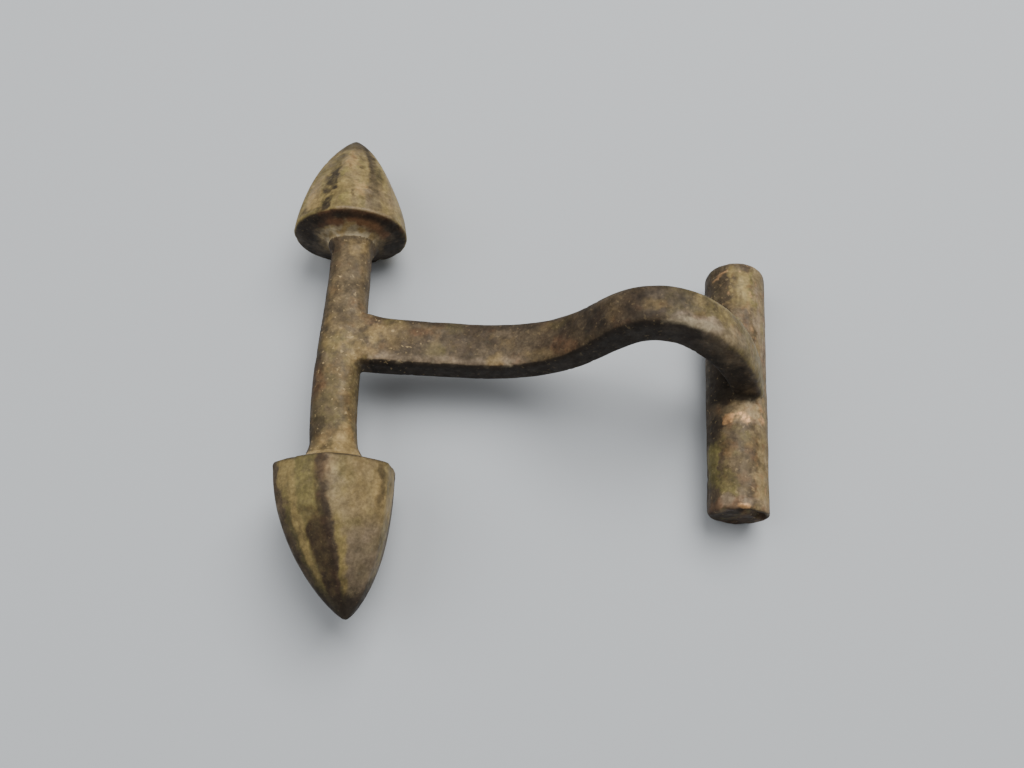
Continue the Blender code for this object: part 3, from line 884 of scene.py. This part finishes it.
def rod_tints(points, normals, where):
    """Tints of the rod and its ends."""
    on_rod = where.in_rod.astype(float)
    along = where.rod_along
    angle = where.rod_angle
    upward = normals[:, 2]
    streaks = layered(streaked(where.rod_across, where.rod_up, along, 0.22), 0.7, seed=41)
    lumps = layered(points, 1.5, seed=42)
    fine = layered(points, 0.55, seed=48)
    wavy = angle + 7.0 * lumps + 5.0 * streaks + 7.0 * fine
    step = along + 0.6 * lumps + 0.35 * fine
    top = smooth(0.0, 0.8, upward)

    light = most(on_rod * top * (0.28 + 0.25 * streaks), 0.75 * on_rod * band(wavy, 20, 62, 10) * top)
    ochre = most(
        0.6 * on_rod * band(wavy, 62, 112, 12) * band(step, -4.6, -2.6, 0.8),
        0.35 * on_rod * band(wavy, 30, 70, 10) * band(step, -13.5, -7.0, 1.5),
        0.6 * on_rod * band(wavy, 75, 110, 12) * band(step, 8.5, 12.6, 1.0),
        0.22 * on_rod * top * smooth(0.1, 0.8, lumps),
    )
    olive = most(
        0.75 * on_rod * band(wavy, 70, 108, 12) * band(step, 9.0, 12.5, 1.0),
        0.75 * on_rod * band(wavy, 142, 172, 9) * band(step, -11.5, -7.5, 1.0),
        0.55 * on_rod * blotch(step, wavy, (-11.8, 122.0), (1.7, 18.0)),
        0.4 * on_rod * top * smooth(0.0, 0.7, layered(points, 2.4, seed=43)),
    )
    rose = most(
        0.75 * on_rod * band(wavy, 22, 66, 9) * band(step, -3.0, 10.5, 1.2) * smooth(-0.5, 0.4, streaks),
        0.65 * on_rod * band(wavy, 62, 110, 12) * band(step, -5.0, -2.8, 0.7),
        0.55 * on_rod * band(step, -14.2, -13.2, 0.3) * top,
        0.28 * on_rod * top * smooth(0.0, 0.8, streaks),
    )
    rust = most(
        0.5 * on_rod * band(wavy, 20, 75, 12) * smooth(0.1, 0.7, grain(points, 0.8, seed=44)),
        0.55 * on_rod * band(step, -14.3, -13.1, 0.3) * smooth(-0.4, 0.5, lumps),
        0.42 * on_rod * top * smooth(0.1, 0.8, layered(points, 1.6, seed=45)),
    )

    gap = smooth(-9.5, -7.0, step) * smooth(-6.0, -8.0, step)
    mottle = smooth(0.1, 0.8, lumps + 0.5 * fine)
    # The crease where the bow's foot meets the rod: grime with painted shade
    crevice = bell(where.rod_distance, rod_radius(along), 0.5) * smooth(2.6, 4.6, points[:, 2])
    crevice *= band(points[:, 0], 38.1, 43.4, 0.9)
    near_face = on_rod * smooth(-14.1, -14.35, along)
    small = layered(points, 0.7, seed=46)
    dark = most(
        # Painted shade on the rod's faces turned down
        0.7 * on_rod * smooth(0.35, -0.2, upward),
        0.45 * on_rod * smooth(128, 150, wavy) * (1 - gap),
        0.72 * on_rod * band(wavy, 142, 190, 22) * band(step, -6.8, -5.0, 1.6),
        0.34 * on_rod * top * mottle * band(step, -13.5, -6.0, 1.5),
        0.5 * on_rod * band(wavy, 118, 200, 10) * band(step, 3.0, 13.5, 1.2),
        0.4 * on_rod * smooth(0.2, 0.9, streaks),
        0.9 * crevice * band(along, -2.6, 3.0, 0.9),
        0.7 * on_rod * band(wavy, 60, 180, 14) * band(step, -1.9, 1.0, 0.5),
        0.66 * near_face * (1 - 0.6 * smooth(0.1, 0.6, small)),
    )
    olive = np.maximum(olive, 0.5 * near_face * smooth(0.0, 0.5, small))

    speckled = smooth(-0.45, 0.35, layered(points, 0.5, seed=49))
    flecks = grain(streaked(where.rod_across, where.rod_up, along, 0.5), 0.35, seed=28)
    far_flecks = band(along, 5, 13, 1) * smooth(0.5, 0.8, flecks)
    bare = most(
        spot(points, (41.5, -6.4, 6.1), 1.7, (0.9, 0.5, 1.0)) * speckled,
        0.9 * spot(points, (44.1, -6.2, 5.4), 1.1, (0.6, 1.8, 1.0)) * speckled,
        0.85 * groove(points, (41.1, -15.6, 6.1), (42.0, -15.6, 6.05), 0.36),
        0.6 * groove(points, (40.5, 11.2, 5.4), (41.6, 11.4, 6.2), 0.25),
        0.5 * groove(points, (40.1, 10.6, 5.0), (40.9, 11.0, 5.8), 0.22),
        0.5 * groove(points, (42.0, 11.6, 6.2), (42.9, 11.2, 6.5), 0.22),
        0.5 * on_rod * band(angle, 30, 72, 10) * smooth(0.45, 0.8, flecks),
        0.35 * on_rod * band(angle, 110, 150, 10) * far_flecks,
    )
    # A painted highlight on the rod's top, just on the near side of the bow's foot
    pale = 0.4 * on_rod * blotch(step, wavy, (-3.7, 72.0), (1.5, 34.0)) * smooth(-0.4, 0.4, fine)
    return dict(light=light, ochre=ochre, olive=olive, rose=rose, dark=dark, rust=rust, pale=pale, bare=bare)


def tints(points, normals, where):
    """How much of each tint each point of the skin has, from 0 to 1."""
    knobs = where.in_knob.astype(float)
    outside = smooth(-0.1, 0.15, where.beyond_rim) * knobs
    parts = [knob_tints(points, normals, where, outside, knobs - outside)]
    parts += [bar_tints(points, normals, where), rod_tints(points, normals, where)]
    found = {}
    for part in parts:
        for name, amount in part.items():
            found[name] = np.maximum(found.get(name, 0.0), amount)
    plain = np.maximum(where.in_stem, where.in_bow).astype(float)
    plain *= 0.25 + 0.75 * smooth(10.6, 5.6, points[:, 0])
    found["specks"] = plain + 0.5 * where.in_rod + 0.18 * knobs
    return {name: np.clip(amount, 0.0, 1.0) for name, amount in found.items()}


def write_tints(mesh, found):
    for name, amount in found.items():
        layer = mesh.attributes.new(name, "FLOAT", "POINT")
        layer.data.foreach_set("value", amount.astype(np.float32))


# The bronze skin

class Nodes:
    """Short ways to add and join the nodes of one material."""

    def __init__(self, material):
        material.use_nodes = True
        self.tree = material.node_tree
        self.tree.nodes.clear()

    def add(self, kind, inputs=None, **settings):
        """Adds a node; each of its inputs is a socket, a number or a colour."""
        made = self.tree.nodes.new(kind)
        for name, value in settings.items():
            setattr(made, name, value)
        for name, value in (inputs or {}).items():
            if isinstance(value, bpy.types.NodeSocket):
                self.tree.links.new(value, made.inputs[name])
            else:
                made.inputs[name].default_value = value
        return made

    def tint(self, name):
        return self.add("ShaderNodeAttribute", attribute_name=name).outputs["Fac"]

    def reckon(self, operation, first, second):
        return self.add("ShaderNodeMath", {0: first, 1: second}, operation=operation).outputs[0]

    def plus(self, first, second):
        return self.reckon("ADD", first, second)

    def minus(self, first, second):
        return self.reckon("SUBTRACT", first, second)

    def times(self, first, second):
        return self.reckon("MULTIPLY", first, second)

    def moved(self, place, shift):
        return self.add("ShaderNodeVectorMath", {0: place, 1: shift}, operation="ADD").outputs[0]

    def spread(self, value, low, high, to_low=0.0, to_high=1.0):
        inputs = {"Value": value, "From Min": low, "From Max": high, "To Min": to_low, "To Max": to_high}
        return self.add("ShaderNodeMapRange", inputs, interpolation_type="SMOOTHSTEP").outputs["Result"]

    def noise(self, place, size, detail=3.0, roughness=0.55):
        inputs = {"Vector": place, "Scale": 1 / size, "Detail": detail, "Roughness": roughness}
        return self.add("ShaderNodeTexNoise", inputs).outputs["Fac"]

    def blend(self, share, first, second):
        """Mixes two colours. A mix node has them at its inputs 6 and 7, and its colour at output 2."""
        first, second = [(*paint, 1.0) if isinstance(paint, tuple) else paint for paint in (first, second)]
        return self.add("ShaderNodeMix", {0: share, 6: first, 7: second}, data_type="RGBA").outputs[2]


# Colours of the skin
UMBER = (0.076, 0.051, 0.028)
BROWN_GREY = (0.122, 0.090, 0.054)
# Rubbed metal, also laid on the far knob's collar and underside as painted light
RUBBED_AND_PAINTED_LIGHT = (0.275, 0.207, 0.104)
# Tan dust, also laid on the far knob's collar as painted light
DUST_AND_PAINTED_LIGHT = (0.375, 0.262, 0.108)
OLIVE = (0.225, 0.190, 0.062)
ROSE = (0.330, 0.252, 0.172)
RUST = (0.200, 0.090, 0.040)
# Near-black dark skin, also laid as painted shade on faces turned down and away from the light
DARK_SKIN_AND_PAINTED_SHADE = (0.022, 0.016, 0.012)
BARE = (0.62, 0.36, 0.17)
# Pale: painted highlight on the bow's near edge, its crown and the rod, and painted light on the far knob's
# collar
PALE = (0.46, 0.39, 0.26)
GOLDEN = (0.46, 0.34, 0.17)
VERDIGRIS = (0.15, 0.18, 0.10)

BUMP_STRENGTH = 0.45
BUMP_DEPTH = 0.06 * MM
SHINE = 0.28

# Tints laid over the skin in this order: name, how strongly noise breaks it up, how far it covers, colour
LAYERS = [
    ("light", 0.55, 1.0, RUBBED_AND_PAINTED_LIGHT), ("olive", 0.55, 1.0, OLIVE), ("rose", 0.55, 0.85, ROSE),
    ("ochre", 0.55, 0.8, DUST_AND_PAINTED_LIGHT), ("rust", 0.8, 0.75, RUST), ("dark", 0.5, 0.93, DARK_SKIN_AND_PAINTED_SHADE),
    ("pale", 0.5, 0.8, PALE),
]


def bronze():
    material = bpy.data.materials.new("old_bronze")
    nodes = Nodes(material)
    place = nodes.add("ShaderNodeTexCoord").outputs["Object"]
    place = nodes.add("ShaderNodeVectorMath", {0: place, "Scale": 1 / MM}, operation="SCALE").outputs[0]

    broad = nodes.noise(place, 2.4, detail=4.0, roughness=0.62)
    middle = nodes.noise(place, 0.9, detail=3.0)
    fine = nodes.noise(place, 0.3, detail=2.0)
    speckle = nodes.noise(place, 0.42, detail=1.0)
    other = nodes.noise(nodes.moved(place, (37.0, 11.0, 5.0)), 0.55, detail=3.0)

    def ragged(name, strength):
        """A tint whose amount is broken up by noise."""
        broken = nodes.tint(name)
        for lumps in (middle, other):
            broken = nodes.plus(broken, nodes.times(nodes.minus(lumps, 0.5), strength))
        return nodes.times(nodes.spread(broken, 0.0, 1.0), nodes.spread(nodes.tint(name), 0.0, 0.12))

    colour = nodes.blend(nodes.spread(broad, 0.35, 0.65), UMBER, BROWN_GREY)
    for name, strength, cover, paint in LAYERS:
        colour = nodes.blend(nodes.times(ragged(name, strength), cover), colour, paint)
    specks = nodes.times(nodes.spread(speckle, 0.64, 0.75), nodes.tint("specks"))
    colour = nodes.blend(nodes.times(specks, 0.62), colour, GOLDEN)
    green = nodes.spread(other, 0.66, 0.78)
    colour = nodes.blend(nodes.times(green, 0.2), colour, VERDIGRIS)
    bare = ragged("bare", 0.7)
    colour = nodes.blend(bare, colour, BARE)
    clouds = nodes.noise(nodes.moved(place, (5.0, 61.0, 23.0)), 1.5, 5.0, 0.68)
    clouded = nodes.spread(clouds, 0.34, 0.68, 0.72, 1.22)
    shade = nodes.times(nodes.spread(fine, 0.3, 0.7, 0.84, 1.14), clouded)
    tone = nodes.add("ShaderNodeHueSaturation", {"Color": colour, "Value": shade}).outputs[0]
    gloss = nodes.spread(middle, 0.3, 0.7, 0.46, 0.64)
    gloss = nodes.plus(gloss, nodes.times(nodes.tint("dark"), 0.15))
    gloss = nodes.minus(gloss, nodes.times(bare, 0.15))

    height = nodes.plus(nodes.times(fine, 0.35), nodes.times(middle, 0.65))
    pits = nodes.spread(nodes.noise(place, 0.22, detail=1.0), 0.56, 0.72)
    height = nodes.minus(height, nodes.times(pits, 0.35))
    bumps = {"Strength": BUMP_STRENGTH, "Distance": BUMP_DEPTH, "Height": height}
    shader = nodes.add("ShaderNodeBsdfPrincipled", {
        "Base Color": tone, "Metallic": nodes.plus(nodes.times(bare, 0.6), 0.08), "Roughness": gloss,
        "Specular IOR Level": SHINE, "Normal": nodes.add("ShaderNodeBump", bumps).outputs[0],
    })
    nodes.add("ShaderNodeOutputMaterial", {"Surface": shader.outputs[0]})
    return material


def plain_material(name, colour, roughness):
    material = bpy.data.materials.new(name)
    material.use_nodes = True
    shader = material.node_tree.nodes["Principled BSDF"]
    shader.inputs["Base Color"].default_value = (*colour, 1.0)
    shader.inputs["Roughness"].default_value = roughness
    return material


# The brooch

def make_brooch():
    bodies = [crossbar(), bow(), rod()]
    corners = np.vstack([np.vstack([*rings, first, last]) for rings, first, last in bodies])
    low, high = corners.min(axis=0), corners.max(axis=0)
    shift = -np.array([(low[0] + high[0]) / 2, (low[1] + high[1]) / 2, low[2]])
    brooch = melted("brooch_skin", closed_mesh("forms", bodies, shift))
    mesh = brooch.data
    points = read(mesh.vertices, "co", 3) / MM - shift
    edges = read(mesh.edges, "vertices", 2, np.int32)
    where = Places(points)
    joint = bell(where.bar_radius, JOINT_RADIUS, JOINT_REACH) * ~where.in_knob
    joint *= band(where.bow_across, -JOINT_HALF_WIDTH, JOINT_HALF_WIDTH, JOINT_EASE)
    joint *= band(where.bow_up, -JOINT_HALF_HEIGHT, JOINT_HALF_HEIGHT, JOINT_EASE)
    points = relax(points, edges, RELAX_ROUNDS, JOINT_STRENGTH * joint)
    write_points(mesh, points + shift)
    normals = read_normals(mesh)
    where = Places(points)
    points = worn(points, normals, where)
    # Nothing reaches below the floor
    points[:, 2] = np.maximum(points[:, 2], -shift[2])
    write_points(mesh, points + shift)
    write_tints(mesh, tints(points, read_normals(mesh), where))
    mesh.materials.clear()
    mesh.materials.append(bronze())
    mesh.shade_smooth()
    return brooch


# Floor, light and camera, with lengths in metres and the lens in millimetres

FLOOR_COLOUR = (0.60, 0.64, 0.69)
FLOOR_REACH = 1.5
FLOOR_DROP = 0.02 * MM
CAMERA_PLACE = (0.28 * MM, -36.00 * MM, 78.6 * MM)
CAMERA_PITCH = math.radians(66.0)
CAMERA_YAW = math.radians(2.6)
CAMERA_ROLL = math.radians(-0.4)
CAMERA_LENS = 26.54
SENSOR_WIDTH = 36.0
NEAREST_SEEN = 0.005
FARTHEST_SEEN = 10.0
KEY_PLACE = (0.12, 0.20, 0.42)
KEY_SIZE = 0.36
KEY_POWER = 2.5
KEY_COLOUR = (1.0, 0.975, 0.93)
FILL_PLACE = (-0.35, 0.02, 0.40)
FILL_SIZE = 0.40
FILL_POWER = 0.8
SOFT_WHITE = (1.0, 0.985, 0.96)
WORLD_STRENGTH = 0.24


def make_camera():
    """The camera looks down on the brooch from the near side."""
    flat = math.cos(CAMERA_PITCH)
    forward = Vector((-math.sin(CAMERA_YAW) * flat, math.cos(CAMERA_YAW) * flat, -math.sin(CAMERA_PITCH)))
    level = Vector((math.cos(CAMERA_YAW), math.sin(CAMERA_YAW), 0.0))
    down = forward.cross(level)
    right = level * math.cos(CAMERA_ROLL) + down * math.sin(CAMERA_ROLL)
    below = down * math.cos(CAMERA_ROLL) - level * math.sin(CAMERA_ROLL)
    data = bpy.data.cameras.new("camera")
    data.lens = CAMERA_LENS
    data.sensor_width = SENSOR_WIDTH
    data.sensor_fit = "HORIZONTAL"
    data.clip_start = NEAREST_SEEN
    data.clip_end = FARTHEST_SEEN
    camera = bpy.data.objects.new("camera", data)
    bpy.context.collection.objects.link(camera)
    axes = Matrix((right, -below, -forward)).transposed()
    camera.matrix_world = Matrix.Translation(Vector(CAMERA_PLACE)) @ axes.to_4x4()
    bpy.context.scene.camera = camera


def make_floor():
    mesh = bpy.data.meshes.new("floor")
    corners = [(x * FLOOR_REACH, y * FLOOR_REACH, 0) for x, y in ((-1, -1), (1, -1), (1, 1), (-1, 1))]
    mesh.from_pydata(corners, [], [(0, 1, 2, 3)])
    floor = bpy.data.objects.new("floor", mesh)
    bpy.context.collection.objects.link(floor)
    floor.location.z = -FLOOR_DROP
    floor.data.materials.append(plain_material("pale_floor", FLOOR_COLOUR, 0.8))


def make_light(name, place, size, power, colour):
    """A soft panel that faces the brooch."""
    data = bpy.data.lights.new(name, "AREA")
    data.shape = "SQUARE"
    data.size = size
    data.energy = power
    data.color = colour
    light = bpy.data.objects.new(name, data)
    bpy.context.collection.objects.link(light)
    light.location = place
    light.rotation_euler = (-Vector(place)).to_track_quat("-Z", "Y").to_euler()


def make_world(colour, strength):
    world = bpy.data.worlds.new("studio")
    world.use_nodes = True
    background = world.node_tree.nodes["Background"]
    background.inputs["Color"].default_value = (*colour, 1.0)
    background.inputs["Strength"].default_value = strength
    bpy.context.scene.world = world


make_camera()
make_floor()
make_light("key", KEY_PLACE, KEY_SIZE, KEY_POWER, KEY_COLOUR)
make_light("fill", FILL_PLACE, FILL_SIZE, FILL_POWER, SOFT_WHITE)
make_world(SOFT_WHITE, WORLD_STRENGTH)

skin = make_brooch()
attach(skin, "root")
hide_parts("fibula_brooch")
